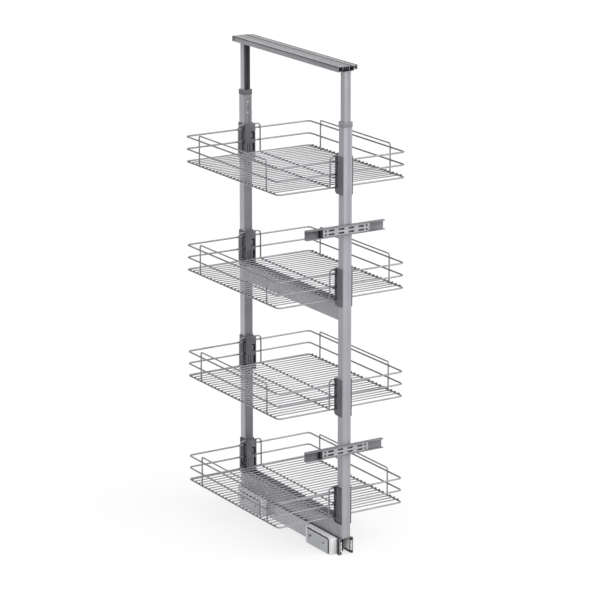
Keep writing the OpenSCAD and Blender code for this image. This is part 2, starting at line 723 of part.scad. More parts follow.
basket_hoops(4);  // basket_4_hoops
door_rail(door_low_z + door_pitch);  // door_rail_upper
door_rail(door_low_z);  // door_rail_lower
door_plate(door_low_z + door_pitch);  // door_plate_upper
door_plate(door_low_z);  // door_plate_lower
door_stop(door_low_z + door_pitch);  // door_stop_upper
door_stop(door_low_z);  // door_stop_lower
door_rail_screws();
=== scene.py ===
# %% [markdown]
# # A pull-out larder unit
#
# This is a tall kitchen pull-out: a telescopic steel frame that rolls out of a 450 mm cabinet and
# carries four chrome wire baskets. The engineering model gives the frame, with every piece in its
# place and in metres. What is added here is what the eye judges: the bent and welded wires, softened
# edges on everything made of sheet or plastic, real finishes, and plain studio light.

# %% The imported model
import json
import math
import bmesh
import bpy
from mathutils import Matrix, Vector


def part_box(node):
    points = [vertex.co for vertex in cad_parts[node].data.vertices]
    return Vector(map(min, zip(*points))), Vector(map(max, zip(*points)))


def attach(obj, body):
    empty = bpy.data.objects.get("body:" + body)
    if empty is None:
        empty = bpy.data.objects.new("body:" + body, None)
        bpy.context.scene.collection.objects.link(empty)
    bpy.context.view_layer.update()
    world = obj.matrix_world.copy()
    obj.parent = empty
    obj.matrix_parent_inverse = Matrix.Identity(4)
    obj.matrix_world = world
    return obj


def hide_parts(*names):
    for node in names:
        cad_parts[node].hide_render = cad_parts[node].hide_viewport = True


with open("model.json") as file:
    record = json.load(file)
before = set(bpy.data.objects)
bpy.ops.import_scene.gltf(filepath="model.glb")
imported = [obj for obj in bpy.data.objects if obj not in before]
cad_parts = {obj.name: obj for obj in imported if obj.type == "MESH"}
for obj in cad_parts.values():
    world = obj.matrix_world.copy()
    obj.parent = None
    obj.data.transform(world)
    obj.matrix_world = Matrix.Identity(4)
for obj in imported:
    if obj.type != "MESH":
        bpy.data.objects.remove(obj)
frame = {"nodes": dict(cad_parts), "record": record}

MM = 0.001
BASKETS = range(1, 5)
ENDS = {"front": -1, "back": 1}  # and on which side of Y = 0 each end lies
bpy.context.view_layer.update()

# %% [markdown]
# ## The camera
#
# The photograph looks from the unit's left front and a little from above, through a long lens. The
# distance, direction and lens come from matching some forty corners of the unit in the picture.
# A camera looks along its own -Z, so it is turned by tracking that axis to the direction of sight.
# Its lens isn't shifted, because a view from another side would keep the shift and miss the middle.
# A camera, a lamp and a mesh all come into the scene in the same way, so one small function does it.

# %% Into the scene
def stand(name, data):
    """An object with this data, linked to the scene."""
    made = bpy.data.objects.new(name, data)
    bpy.context.scene.collection.objects.link(made)
    return made


# %% A camera where the photographer stood
AZIMUTH, ELEVATION = math.radians(-31.828), math.radians(15.325)
DISTANCE, FAR_CLIP = 7.6654, 100
LENS, SENSOR = 175.875, 36  # millimetres
AIM = Vector((0.00113, -0.00226, 0.65017))
sight = Vector((-math.sin(AZIMUTH) * math.cos(ELEVATION),
                math.cos(AZIMUTH) * math.cos(ELEVATION),
                -math.sin(ELEVATION)))
camera_data = bpy.data.cameras.new("camera")
camera_data.sensor_width = SENSOR
camera_data.lens = LENS
camera_data.clip_end = FAR_CLIP
camera = stand("camera", camera_data)
camera.location = AIM - DISTANCE * sight
camera.rotation_euler = sight.to_track_quat("-Z", "Y").to_euler()
bpy.context.scene.camera = camera
print("camera at", [round(x, 3) for x in camera.location])

# %% [markdown]
# ## Two small tools for node trees
#
# Every finish below is a small network of nodes. Adding a node always takes the same steps: make it,
# set its options, then either link its inputs or give them a value. One function does all three.
# Colours are written the way designers write them, as sRGB hex, while Blender wants linear light,
# so one function turns them.

# %% add_node and colour
def add_node(tree, kind, inputs=None, **settings):
    """A new node with its settings, and its inputs linked to a socket or set to a value."""
    node = tree.nodes.new(kind)
    for key, value in settings.items():
        setattr(node, key, value)
    for key, value in (inputs or {}).items():
        if isinstance(value, bpy.types.NodeSocket):
            tree.links.new(value, node.inputs[key])
        else:
            node.inputs[key].default_value = value
    return node


def colour(hex_code):
    """The linear colour, with alpha, of an sRGB hex code."""
    parts = [int(hex_code[i:i + 2], 16) / 255 for i in (1, 3, 5)]
    linear = [c / 12.92 if c <= 0.04045 else ((c + 0.055) / 1.055) ** 2.4 for c in parts]
    return (*linear, 1)


print("mid grey #808080 is", round(colour("#808080")[0], 3), "in linear light")

# %% [markdown]
# ## Finishes
#
# Nearly every finish here is one colour with two fine things on it: a tone that drifts a little
# over the surface, and a grain that the light catches. The grain's shape tells the eye how the
# surface was made: long lines for drawing and extruding, fine pebbles for powder coat and moulded
# plastic. So one function lays a stretched noise over the object's own coordinates, gives its size
# in millimetres along each axis, and uses it for colour, roughness and bump. What is the same all
# over stays on the shader's own sockets.

# %% A finish made from a grain
DRIFT = (60, 60, 60)  # millimetres over which the tone of any surface drifts
GRAIN_DETAIL, DRIFT_DETAIL, NOISE_ROUGHNESS = 3.0, 2.0, 0.55
TONE_RANGE = (0.7, 1.3)  # where the sum of both noises mostly lies
GRAIN_RANGE = (0.3, 0.7)  # where one noise mostly lies
BUMP_DEPTH = 0.1 * MM


def blank_material(name):
    """A new material, and its empty node tree."""
    material = bpy.data.materials.new(name)
    material.use_nodes = True
    material.node_tree.nodes.clear()
    return material, material.node_tree


def finish(name, light, dark, roughness, grain, bump=0.0, metallic=0.0):
    """A material from two colours, a range of roughness, and a grain in millimetres along X, Y and Z."""
    material, tree = blank_material(name)
    place = add_node(tree, "ShaderNodeTexCoord").outputs["Object"]
    fields = []
    for size, detail in (grain, GRAIN_DETAIL), (DRIFT, DRIFT_DETAIL):
        stretch = tuple(1 / (length * MM) for length in size)
        scaled = add_node(tree, "ShaderNodeMapping", {"Vector": place, "Scale": stretch})
        fields.append(add_node(tree, "ShaderNodeTexNoise", {
            "Vector": scaled.outputs[0], "Scale": 1.0, "Detail": detail,
            "Roughness": NOISE_ROUGHNESS}).outputs[0])
    fine, broad = fields
    tone = add_node(tree, "ShaderNodeMath", {0: fine, 1: broad}, operation="ADD")
    share = add_node(tree, "ShaderNodeMapRange", {
        "Value": tone.outputs[0], "From Min": TONE_RANGE[0], "From Max": TONE_RANGE[1],
        "To Min": 0.0, "To Max": 1.0})
    mixed = add_node(tree, "ShaderNodeMix", {
        0: share.outputs[0], 6: colour(dark), 7: colour(light)}, data_type="RGBA")
    rough = add_node(tree, "ShaderNodeMapRange", {
        "Value": fine, "From Min": GRAIN_RANGE[0], "From Max": GRAIN_RANGE[1],
        "To Min": roughness[0], "To Max": roughness[1]})
    inputs = {"Base Color": mixed.outputs[2], "Roughness": rough.outputs[0], "Metallic": metallic}
    if bump:
        height = add_node(tree, "ShaderNodeBump", {"Height": fine, "Strength": bump, "Distance": BUMP_DEPTH})
        inputs["Normal"] = height.outputs[0]
    shader = add_node(tree, "ShaderNodeBsdfPrincipled", inputs)
    add_node(tree, "ShaderNodeOutputMaterial", {"Surface": shader.outputs[0]})
    return material


# %% [markdown]
# The metals. Chrome plate over drawn wire is close to a mirror, and what it shows is mostly the grey
# of the room. Zinc plate is duller and slightly clouded. The extruded rail is anodised, with fine
# draw lines along its length. The uprights are powder coated in a metallic silver: half paint,
# half metal flake, with faint lines down the tube from the roll forming beneath the coat.

# %% Metals
ZINC_BLOOM = (1.2, 5, 5)  # cloudy patches, drawn out over a sheet
TUBE_LINES = (1.6, 1.6, 120) # streaks down a roll-formed tube
RAIL_LINES = (0.8, 90, 0.8)  # draw lines along an extruded rail
METALS = {
    # chrome-plated drawn wire: a dim mirror, with draw marks far too fine to see, so a soft ripple
    "bright_wire": finish("chrome_plated_wire", "#9C9CA0", "#8B8B8F", (0.24, 0.34), (3, 3, 3), 0.0, 1.0),
    # zinc-plated pressed sheet: a cloudy bloom some millimetres wide
    "zinc_steel": finish("zinc_plated_sheet", "#BDBEC1", "#A4A5A9", (0.24, 0.36), ZINC_BLOOM, 0.10, 1.0),
    # anodised extrusion: satin draw lines along Y, drawn 0.8 mm wide so that they show
    "anodised": finish("anodised_aluminium", "#AAAAAE", "#99999E", (0.28, 0.40), RAIL_LINES, 0.15, 0.85),
    # metallic powder coat on roll-formed tube: faint streaks down Z, and a low sheen
    "satin_silver": finish("silver_powder_coat", "#A9A9AF", "#9E9EA4", (0.36, 0.46), TUBE_LINES, 0.12, 0.3),
    # zinc-plated screws and steel balls: turned or ground steel, with a fine sparkle
    "screw_steel": finish("zinc_plated_screw_steel", "#B0B1B4", "#94959A", (0.22, 0.34), (0.4, 0.4, 0.4),
                          0.10, 1.0),
}
print("metals:", ", ".join(METALS))

# %% [markdown]
# The plastics. Nylon holders come out of a spark-eroded mould, so they have a fine matte pebble.
# Acetal is black and a little waxy. The white bracket body is smooth ABS, and its gasket is rubber.

# %% Plastics and rubber
SPARK_GRAIN = (0.6, 0.6, 0.6)  # the pebble that a spark-eroded mould leaves
PLASTICS = {
    # glass-filled nylon from a spark-eroded mould: matte, and easily scuffed
    "grey_plastic": finish("moulded_grey_nylon", "#6C6C71", "#5F5F64", (0.42, 0.56), SPARK_GRAIN, 0.25),
    # the same nylon, coloured paler for the front collar and the end cap
    "light_grey_plastic": finish("moulded_light_grey_nylon", "#96969B", "#8A8A8F", (0.42, 0.56),
                                 SPARK_GRAIN, 0.20),
    # acetal: dark, with a dull sheen
    "black_plastic": finish("moulded_black_acetal", "#121214", "#0C0C0E", (0.45, 0.60),
                            (0.8, 0.8, 0.8), 0.15),
    # polished mould: smooth, with a slow sink in the surface
    "white_plastic": finish("moulded_white_abs", "#FAFAFB", "#F2F2F4", (0.22, 0.32), (8, 8, 8), 0.05),
    # dusty, slightly grainy rubber
    "black_rubber": finish("black_rubber", "#18181A", "#101012", (0.62, 0.78), (0.5, 0.5, 0.5), 0.35),
}
print("plastics:", ", ".join(PLASTICS))

# %% [markdown]
# A few pieces of one metal are finished in another way. The door rails are hot-dip galvanised and
# dull, while their sliding plates are bright. The locking screws are nickel plated. The outer
# uprights' silver is a little lighter than the inner ones', as painted light against the shade
# that the baskets and holders cast on them.

# %% Finishes of single pieces
# galvanised sheet: dull grey, with spangles of a few millimetres
GALVANISED = finish("galvanised_sheet", "#95959A", "#737378", (0.42, 0.58), (2.5, 2.5, 2.5), 0.20, 0.3)
# electroplated zinc: brighter and smoother than the hot-dip coat beside it
BRIGHT_SHEET = finish("bright_zinc_plate", "#BABABE", "#A4A4A9", (0.30, 0.42), ZINC_BLOOM, 0.10, 0.4)
# nickel plate on small turned heads: nearly white
NICKEL = finish("nickel_plated_screw", "#F4F4F4", "#E4E4E6", (0.25, 0.35), (0.4, 0.4, 0.4), 0.05, 0.3)
# silver powder coat on the outer tubes, a little lighter as painted light against their shade
PAINTED_LIGHT_OUTER_COAT = finish("outer_silver_coat_painted_light", "#AEAEB4", "#A4A4AA", (0.36, 0.46), TUBE_LINES, 0.12, 0.3)

# %% [markdown]
# And some faces of one piece differ from the rest of it, as painted shade or painted light. What
# lies deep in a groove, a pocket or an open channel is painted darker, and so are the holders'
# sides and the weld spots where wires cross. A few faces that fall too dim are painted lighter.
# Each of these finishes goes on chosen faces further down.

# %% Finishes of single faces
# painted shade in narrow grooves and on the runner's front: dark and dull
PAINTED_GROOVE_SHADE = finish("painted_shade_in_grooves", "#39393C", "#2C2C2F", (0.50, 0.65), (1.6, 1.6, 60), 0.10, 0.2)
# painted shade on the sides of the outer uprights that face each other
FACING_SIDE_SHADE = finish("powder_coat_facing_side_shade", "#8C8C91", "#7F7F84", (0.40, 0.52), TUBE_LINES, 0.12, 0.3)
# painted shade: the coat inside the open channels of the inner uprights, made darker
PAINTED_CHANNEL_SHADE = finish("powder_coat_channel_shade", "#7C7C81", "#6F6F74", (0.50, 0.65), TUBE_LINES, 0.10, 0.2)
# painted light: the palest silver, on the left faces of the back uprights
PAINTED_LIGHT_COAT = finish("silver_coat_painted_light", "#BBBBC1", "#B1B1B7", (0.36, 0.46), TUBE_LINES, 0.12, 0.3)
# painted shade: the rail's left side, a shade darker than its top
RAIL_SIDE_SHADE = finish("anodised_rail_side_painted_shade", "#9A9A9F", "#8B8B90", (0.32, 0.44), RAIL_LINES, 0.12, 0.6)
# painted light: near white on the runners' inner webs and faces that lie in their shade
PAINTED_LIGHT_ZINC = finish("zinc_painted_light", "#FCFCFC", "#F4F4F5", (0.40, 0.55), ZINC_BLOOM, 0.0)
# painted shade on the front holders' plain sides and fillers: smooth and dark
SHADED_NYLON = finish("shaded_grey_nylon", "#6E6E74", "#626267", (0.55, 0.70), (1.2, 5, 5), 0.05)
# painted shade on the holders' window sides
PAINTED_SHADE_HOLDER_SIDE = finish("grey_nylon_painted_shade", "#5E5E63", "#525257", (0.46, 0.60), SPARK_GRAIN, 0.25)
# painted shade on the walls and floors of pockets that no light reaches, and in the carriage
PAINTED_POCKET_SHADE = finish("painted_pocket_shade", "#1E1E20", "#161618", (0.55, 0.70), (1, 1, 1), 0.10)
# the weld spots, dark as painted shade where the wires cross
WELD_SHADE = finish("weld_spot_painted_shade", "#333336", "#252528", (0.30, 0.45), (0.6, 0.6, 0.6), 0.20, 0.9)
print("the darkest is", PAINTED_POCKET_SHADE.name, "and the palest", PAINTED_LIGHT_ZINC.name)

# %% A finish for every node
FINISHES = {**METALS, **PLASTICS}
slot_of = {part["node"]: part["material_slot"] for part in frame["record"]["subparts"]}
finish_of = {name: FINISHES[slot] for name, slot in slot_of.items()}
for side in ("upper", "lower"):
    finish_of[f"door_rail_{side}"] = GALVANISED
    finish_of[f"door_plate_{side}"] = BRIGHT_SHEET
finish_of["locking_screws"] = NICKEL
for end in ENDS:
    finish_of[f"upright_outer_{end}"] = PAINTED_LIGHT_OUTER_COAT
for pale in ("collar_front", "top_rail_end_cap"):
    finish_of[pale] = PLASTICS["light_grey_plastic"]
for name, node in frame["nodes"].items():
    node.data.materials.clear()
    node.data.materials.append(finish_of[name])
print("finishes:", ", ".join(sorted({m.name for m in finish_of.values()})))

# %% [markdown]
# ## From a node tree to a plain mesh
#
# The wires, the floor grids, the weld spots and the rows of balls all repeat or follow a path, so
# Geometry Nodes make them. Each tree is built once, with named sizes, and used on many small
# skeletons. The result is copied out as a plain mesh, and the modifier and its carrier go away.
# A modifier's inputs are set by each socket's identifier, before Blender evaluates the object.

# %% The start and end of a tree
SOCKETS = {float: "NodeSocketFloat", int: "NodeSocketInt", tuple: "NodeSocketVector"}


def new_tree(name, **sizes):
    """A node tree with a named input for each size, and the outputs of its input node."""
    tree = bpy.data.node_groups.new(name, "GeometryNodeTree")
    tree.interface.new_socket("Skeleton", in_out="INPUT", socket_type="NodeSocketGeometry")
    for key, value in sizes.items():
        kind = "NodeSocketMaterial" if value is None else SOCKETS[type(value)]
        socket = tree.interface.new_socket(key, in_out="INPUT", socket_type=kind)
        if value is not None:
            socket.default_value = value
    tree.interface.new_socket("Result", in_out="OUTPUT", socket_type="NodeSocketGeometry")
    return tree, tree.nodes.new("NodeGroupInput").outputs


def end_tree(tree, geometry, material):
    """Ends a tree with smooth shading, real geometry instead of instances, and a material."""
    smooth = add_node(tree, "GeometryNodeSetShadeSmooth", {"Geometry": geometry})
    real = add_node(tree, "GeometryNodeRealizeInstances", {"Geometry": smooth.outputs[0]})
    dressed = add_node(tree, "GeometryNodeSetMaterial", {"Geometry": real.outputs[0], "Material": material})
    add_node(tree, "NodeGroupOutput", {0: dressed.outputs[0]})


print("a tree takes", len(SOCKETS), "kinds of number, and a material")


# %% From a tree to a piece
def plain_mesh(carrier, name):
    """The evaluated mesh of an object with modifiers, as a new object at the origin."""
    bpy.context.view_layer.update()
    graph = bpy.context.evaluated_depsgraph_get()
    mesh = bpy.data.meshes.new_from_object(carrier.evaluated_get(graph))
    bpy.data.objects.remove(carrier)
    mesh.name = name
    return stand(name, mesh)


def grow(tree, name, points, edges, marks, sizes):
    """Runs a tree on a skeleton of points and edges, with one value of each mark at every point."""
    mesh = bpy.data.meshes.new(name)
    mesh.from_pydata(points, edges, [])
    for key, values in marks.items():
        kind, field = ("FLOAT_VECTOR", "vector") if isinstance(values[0], tuple) else ("FLOAT", "value")
        layer = mesh.attributes.new(key, kind, "POINT")
        for spot, value in zip(layer.data, values):
            setattr(spot, field, value)
    carrier = stand(name, mesh)
    modifier = carrier.modifiers.new("grow", "NODES")
    modifier.node_group = tree
    for item in tree.interface.items_tree:
        if item.in_out == "INPUT" and item.name in sizes:
            modifier[item.identifier] = sizes[item.name]
    return plain_mesh(carrier, name)


def settle(piece, body, slot, *nodes):
    """Rides a finished piece on its body, in place of the CAD nodes that it stands for."""
    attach(piece, body)
    if nodes:
        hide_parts(*nodes)


# %% [markdown]
# ## Rows of bent wire
#
# Rails, side bars, hoops and floor wires are lengths of wire, bent round a former and then set in
# even rows: three rails one above the other, twenty-five floor wires side by side. A skeleton of
# straight lines holds one wire's corners, each with its bend radius. Fillet Curve rounds them,
# Curve to Mesh sweeps a circle along, and a line of points repeats the wire at its pitch. The
# attribute "swell" scales the circle, so that cut ends get a chamfer, and the butt weld that closes
# a rail shows as the slightly upset ring that it is.

# %% The wire tree
wire_tree, sizes = new_tree("row of bent wire", Diameter=0.004, Sides=16, Bend_Steps=8, Copies=1,
                            Pitch=(0.0, 0.0, 0.0), Finish=None)
corner = add_node(wire_tree, "GeometryNodeInputNamedAttribute", {"Name": "bend"}, data_type="FLOAT")
swell = add_node(wire_tree, "GeometryNodeInputNamedAttribute", {"Name": "swell"}, data_type="FLOAT")
radius = add_node(wire_tree, "ShaderNodeMath", {0: sizes["Diameter"], 1: 0.5}, operation="MULTIPLY")
line = add_node(wire_tree, "GeometryNodeMeshToCurve", {"Mesh": sizes["Skeleton"]})
rounded = add_node(wire_tree, "GeometryNodeFilletCurve", {
    "Curve": line.outputs[0], "Count": sizes["Bend_Steps"], "Radius": corner.outputs[0],
    "Limit Radius": True}, mode="POLY")
circle = add_node(wire_tree, "GeometryNodeCurvePrimitiveCircle", {
    "Resolution": sizes["Sides"], "Radius": radius.outputs[0]})
swept = add_node(wire_tree, "GeometryNodeCurveToMesh", {
    "Curve": rounded.outputs[0], "Profile Curve": circle.outputs[0], "Scale": swell.outputs[0],
    "Fill Caps": True})
row = add_node(wire_tree, "GeometryNodeMeshLine", {
    "Count": sizes["Copies"], "Offset": sizes["Pitch"]}, mode="OFFSET")
repeated = add_node(wire_tree, "GeometryNodeInstanceOnPoints", {
    "Points": row.outputs[0], "Instance": swept.outputs[0]})
end_tree(wire_tree, repeated.outputs[0], sizes["Finish"])
print("tree:", wire_tree.name)

# %% [markdown]
# ## Beads
#
# Weld spots and bearing balls are one idea: the same small ball at many points. Each point gives
# its own half sizes, so a weld spot can lie flat between the two wires that it joins. A spot that
# is repeated hundreds of times has only a few dozen faces, and a bearing ball has more.

# %% The bead tree
bead_tree, sizes = new_tree("beads", Segments=8, Rings=5, Finish=None)
half_sizes = add_node(bead_tree, "GeometryNodeInputNamedAttribute", {"Name": "half"},
                      data_type="FLOAT_VECTOR")
ball = add_node(bead_tree, "GeometryNodeMeshUVSphere", {
    "Segments": sizes["Segments"], "Rings": sizes["Rings"], "Radius": 1.0})
placed = add_node(bead_tree, "GeometryNodeInstanceOnPoints", {
    "Points": sizes["Skeleton"], "Instance": ball.outputs[0], "Scale": half_sizes.outputs[0]})
end_tree(bead_tree, placed.outputs[0], sizes["Finish"])
print("tree:", bead_tree.name)

# %% [markdown]
# ## Measures of a basket
#
# The baskets' sizes come from the model's own boxes, so the wires here lie where the solids lie.
# Only gauges, bend radii, counts, the floor's pitch and the legs' places are repeated from the drawing.

# %% Basket measures
RAIL, BAR, FLOOR_WIRE = 4.6 * MM, 4 * MM, 3 * MM  # diameters
WELD_GAP = 0.03 * MM  # between wires that are welded
CORNER_R, HOOP_R, FOOT_R, BAR_R = 10 * MM, 10 * MM, 6 * MM, 5 * MM
LEG_X = 34 * MM  # a hoop's legs, from the middle
RAIL_COUNT, FLOOR_PITCH, FLOOR_COUNT = 3, 17.9 * MM, 25
low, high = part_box("basket_1_rails")
rail_x, rail_y = high.x - RAIL / 2, high.y - RAIL / 2
rail_gap = (high.z - low.z - RAIL) / 2
bar_low, bar_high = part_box("basket_1_side_bars")
bar_x, bar_y = bar_high.x - BAR / 2, bar_high.y - BAR / 2
bar_top, bar_foot = bar_high.z - BAR / 2, bar_low.z
hoop_low, hoop_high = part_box("basket_1_hoops")
hoop_y, hoop_top, hoop_foot = hoop_high.y - BAR / 2, hoop_high.z - BAR / 2, hoop_low.z + BAR / 2
floor_end, floor_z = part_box("basket_1_floor")[1].x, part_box("basket_1_floor")[1].z - FLOOR_WIRE / 2
first_floor_z = low.z + RAIL / 2
print("basket over the wires:", round(2 * rail_x / MM, 1), "by", round(2 * rail_y / MM, 1), "mm")


# %% [markdown]
# ## A wire as a skeleton
#
# A wire is described by its corners, as on a bending plan: where each corner is and how wide its
# bend is. An open wire is sawn off and tumbled, so both ends get a small chamfer. That is two more
# stops near each end, where the wire's circle shrinks.

# %% Skeletons
CUT_SWELL, CHAMFER = 0.72, 0.4 * MM


def skeleton(stops, closed=False):
    """One wire as points, edges and marks, from stops of (place, bend radius, swelling)."""
    points = [tuple(place) for place, bend, swelling in stops]
    edges = [(i, i + 1) for i in range(len(points) - 1)]
    if closed:
        edges.append((len(points) - 1, 0))
    marks = {"bend": [float(stop[1]) for stop in stops], "swell": [float(stop[2]) for stop in stops]}
    return points, edges, marks


def cut_wire(corners, bends=()):
    """An open wire with a chamfer at both of its cut ends."""
    corners = [Vector(c) for c in corners]
    stops = [(c, bend, 1) for c, bend in zip(corners[1:-1], bends)]
    start = corners[0] + (corners[1] - corners[0]).normalized() * CHAMFER
    end = corners[-1] + (corners[-2] - corners[-1]).normalized() * CHAMFER
    return skeleton([(corners[0], 0, CUT_SWELL), (start, 0, 1), *stops,
                     (end, 0, 1), (corners[-1], 0, CUT_SWELL)])


def wire_piece(name, wire, diameter, copies=1, pitch=(0, 0, 0), sides=16):
    """A row of equal wires as one piece."""
    return grow(wire_tree, name, *wire, {
        "Diameter": diameter, "Sides": sides, "Copies": copies, "Pitch": pitch,
        "Finish": METALS["bright_wire"]})


print("cut ends shrink to", CUT_SWELL, "of the wire over", round(CHAMFER / MM, 1), "mm")


# %% [markdown]
# ## Four baskets
#
# Each basket is three closed rails, a row of floor wires, two raised side bars and one long loop
# that makes a hoop at both ends and runs back under the floor. A rail is closed by a butt weld in
# its back straight. A real basket is welded up in a jig, and each crossing leaves a small flattened
# spot. The four baskets are equal, so one function draws any of them at its own height.

# %% One basket's wires
BUTT_X, BUTT_HALF, BUTT_CREST, BUTT_SWELL = -118 * MM, 0.9 * MM, 0.36 * MM, 1.07


def basket_wires(k, lift):
    """The four kinds of wire of basket k, which stands lift metres over the first."""
    z = first_floor_z + lift
    butt = [((BUTT_X + off, rail_y, z), 0, swelling) for off, swelling in (
        (BUTT_HALF, 1), (BUTT_CREST, BUTT_SWELL), (-BUTT_CREST, BUTT_SWELL), (-BUTT_HALF, 1))]
    rails = skeleton([((rail_x, -rail_y, z), CORNER_R, 1), ((rail_x, rail_y, z), CORNER_R, 1), *butt,
                      ((-rail_x, rail_y, z), CORNER_R, 1), ((-rail_x, -rail_y, z), CORNER_R, 1)], closed=True)
    first_y = -FLOOR_PITCH * (FLOOR_COUNT - 1) / 2
    floor = cut_wire([(-floor_end, first_y, floor_z + lift), (floor_end, first_y, floor_z + lift)])
    side = cut_wire([(-bar_x, -bar_y, bar_foot + lift), (-bar_x, -bar_y, bar_top + lift),
                     (-bar_x, bar_y, bar_top + lift), (-bar_x, bar_y, bar_foot + lift)], (BAR_R, BAR_R))
    half_loop = [(-LEG_X, hoop_foot, FOOT_R), (-LEG_X, hoop_top, HOOP_R),
                 (LEG_X, hoop_top, HOOP_R), (LEG_X, hoop_foot, FOOT_R)]
    loop = [((x, -hoop_y, height + lift), bend, 1) for x, height, bend in half_loop]
    loop += [((-x, hoop_y, height + lift), bend, 1) for x, height, bend in half_loop]
    return {
        "rails": wire_piece(f"basket_{k}_rail_wires", rails, RAIL, RAIL_COUNT, (0, 0, rail_gap), sides=18),
        "floor": wire_piece(f"basket_{k}_floor_wires", floor, FLOOR_WIRE, FLOOR_COUNT,
                            (0, FLOOR_PITCH, 0), sides=12),
        "side_bars": wire_piece(f"basket_{k}_side_wires", side, BAR, 2, (2 * bar_x, 0, 0)),
        "hoops": wire_piece(f"basket_{k}_hoop_wire", skeleton(loop, closed=True), BAR),
    }


print("a rail's butt weld is", round(2 * BUTT_HALF / MM, 1), "mm long")


# %% Weld spots where wires cross
# the spots are dark as painted shade where the wires cross
SPOT_LONG, SPOT_WIDE, SPOT_THICK = 2.4 * MM, 1.9 * MM, 0.9 * MM  # half sizes
RAIL_SPOT, RAIL_SPOT_DROP = (2.4 * MM, 3.2 * MM, 1.2 * MM), 0.3 * MM


def basket_welds(k, lift):
    """The weld spots of basket k as one piece, and how many there are."""
    spots = []
    for i in range(FLOOR_COUNT):
        y = (i - (FLOOR_COUNT - 1) / 2) * FLOOR_PITCH
        z = floor_z + lift - (FLOOR_WIRE + WELD_GAP) / 2
        spots += [((x, y, z), (SPOT_WIDE, SPOT_LONG, SPOT_THICK)) for x in (-LEG_X, LEG_X)]
        spots += [((x, y, z - RAIL_SPOT_DROP), RAIL_SPOT) for x in (-rail_x, rail_x)]
    for i in range(RAIL_COUNT):
        z, x = first_floor_z + lift + i * rail_gap, rail_x - (RAIL + WELD_GAP) / 2
        spots += [((sx * x, sy * bar_y, z), (SPOT_THICK, SPOT_LONG, SPOT_WIDE))
                  for sx in (-1, 1) for sy in (-1, 1)]
        if i:
            y = rail_y - (RAIL + WELD_GAP) / 2
            spots += [((sx * LEG_X, sy * y, z), (SPOT_LONG, SPOT_THICK, SPOT_WIDE))
                      for sx in (-1, 1) for sy in (-1, 1)]
    places, halves = zip(*spots)
    return grow(bead_tree, f"basket_{k}_weld_spots", places, [], {"half": list(halves)},
                {"Finish": WELD_SHADE}), len(spots)


print("a spot between rail and floor wire is", [round(2 * half / MM, 1) for half in RAIL_SPOT], "mm")


# %% All four
for k in BASKETS:
    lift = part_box(f"basket_{k}_rails")[0].z - low.z
    for kind, piece in basket_wires(k, lift).items():
        settle(piece, f"basket_{k}", "bright_wire", f"basket_{k}_{kind}")
    welds, count = basket_welds(k, lift)
    settle(welds, f"basket_{k}", "bright_wire")
    print(f"basket {k} stands {round(lift / MM, 1)} mm over the first, with {count} weld spots")

# %% [markdown]
# ## Ball cages
#
# The runner rolls on steel balls, held at their distance by thin black strips. They show when the
# unit is pulled out. The strip is a plain cut band with eased edges, so it is made from boxes in mesh
# code. The balls are beads.

# %% Boxes in mesh code
def add_box(shape, low, high):
    """Adds a box to a bmesh, and returns its faces."""
    verts = bmesh.ops.create_cube(shape, size=1)["verts"]
    for vertex in verts:
        vertex.co = [a + (b - a) * (c + 0.5) for a, b, c in zip(low, high, vertex.co)]
    return {face for vertex in verts for face in vertex.link_faces}


def mesh_from(shape, name, *materials):
    """A mesh with these materials, made from a bmesh that isn't needed any more."""
    mesh = bpy.data.meshes.new(name)
    for material in materials:
        mesh.materials.append(material)
    shape.to_mesh(mesh)
    shape.free()
    return mesh


def band(name, boxes, width, material):
    """Boxes with small chamfers, as one piece."""
    shape = bmesh.new()
    for corner_low, corner_high in boxes:
        add_box(shape, corner_low, corner_high)
    bmesh.ops.bevel(shape, geom=shape.edges[:], offset=width, segments=2, profile=0.5, affect="EDGES")
    return stand(name, mesh_from(shape, name, material))


print("cages:", ", ".join(name for name in frame["nodes"] if name.startswith("cage")))

# %% Strips and balls
BALL, CAGE_T, CAGE_EASE = 2.9 * MM, 1 * MM, 0.2 * MM
BALL_COUNT, CAGE_END = 7, 8 * MM  # balls in a row, and from the strip's end to the first
BALL_ROWS = (15 * MM, 29 * MM)  # heights of the two rows
for cage, body in (("cage_outer", "outer_cages"), ("cage_inner", "inner_cages")):
    cage_low, cage_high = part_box(cage)
    x = cage_high.x - BALL / 2
    strips = [((side * x - CAGE_T / 2, cage_low.y, cage_low.z),
               (side * x + CAGE_T / 2, cage_high.y, cage_high.z)) for side in (-1, 1)]
    settle(band(f"{cage}_strips", strips, CAGE_EASE, PLASTICS["black_plastic"]), body, "black_plastic", cage)
    step = (cage_high.y - cage_low.y - 2 * CAGE_END) / (BALL_COUNT - 1)
    spots = [(side * x, cage_low.y + CAGE_END + i * step, z)
             for side in (-1, 1) for z in BALL_ROWS for i in range(BALL_COUNT)]
    balls = grow(bead_tree, f"{cage}_balls", spots, [], {"half": [(BALL / 2,) * 3] * len(spots)},
                 {"Segments": 16, "Rings": 10, "Finish": METALS["screw_steel"]})
    settle(balls, body, "screw_steel")
    print(cage, "with", len(spots), "balls")

# %% [markdown]
# ## Fine cuts
#
# The solids leave out what is too fine for them: the channel rolled down each outer upright, the
# latch pockets and windows of the holders, the grooves of the brackets and of the top rail. Each is
# a box taken out of a copy of the solid, and the walls of the cut take the cutter's own finish. A
# Boolean modifier does that exactly, where a painted line would vanish in a view from the side.

# %% Where the cuts are kept
CUTS = {}  # by node: low corner, high corner, finish of the walls
POCKET_FLOORS = []
CLOSED_SIDES = {"front": [], "back": []}
DEEP = 10 * MM  # further than any wall, for a cut that runs out into the open


def box_between(xs, ys, zs):
    """The low and high corner of a box, from its two ends along each axis, in any order."""
    ends = [sorted(pair) for pair in (xs, ys, zs)]
    return tuple(low for low, high in ends), tuple(high for low, high in ends)


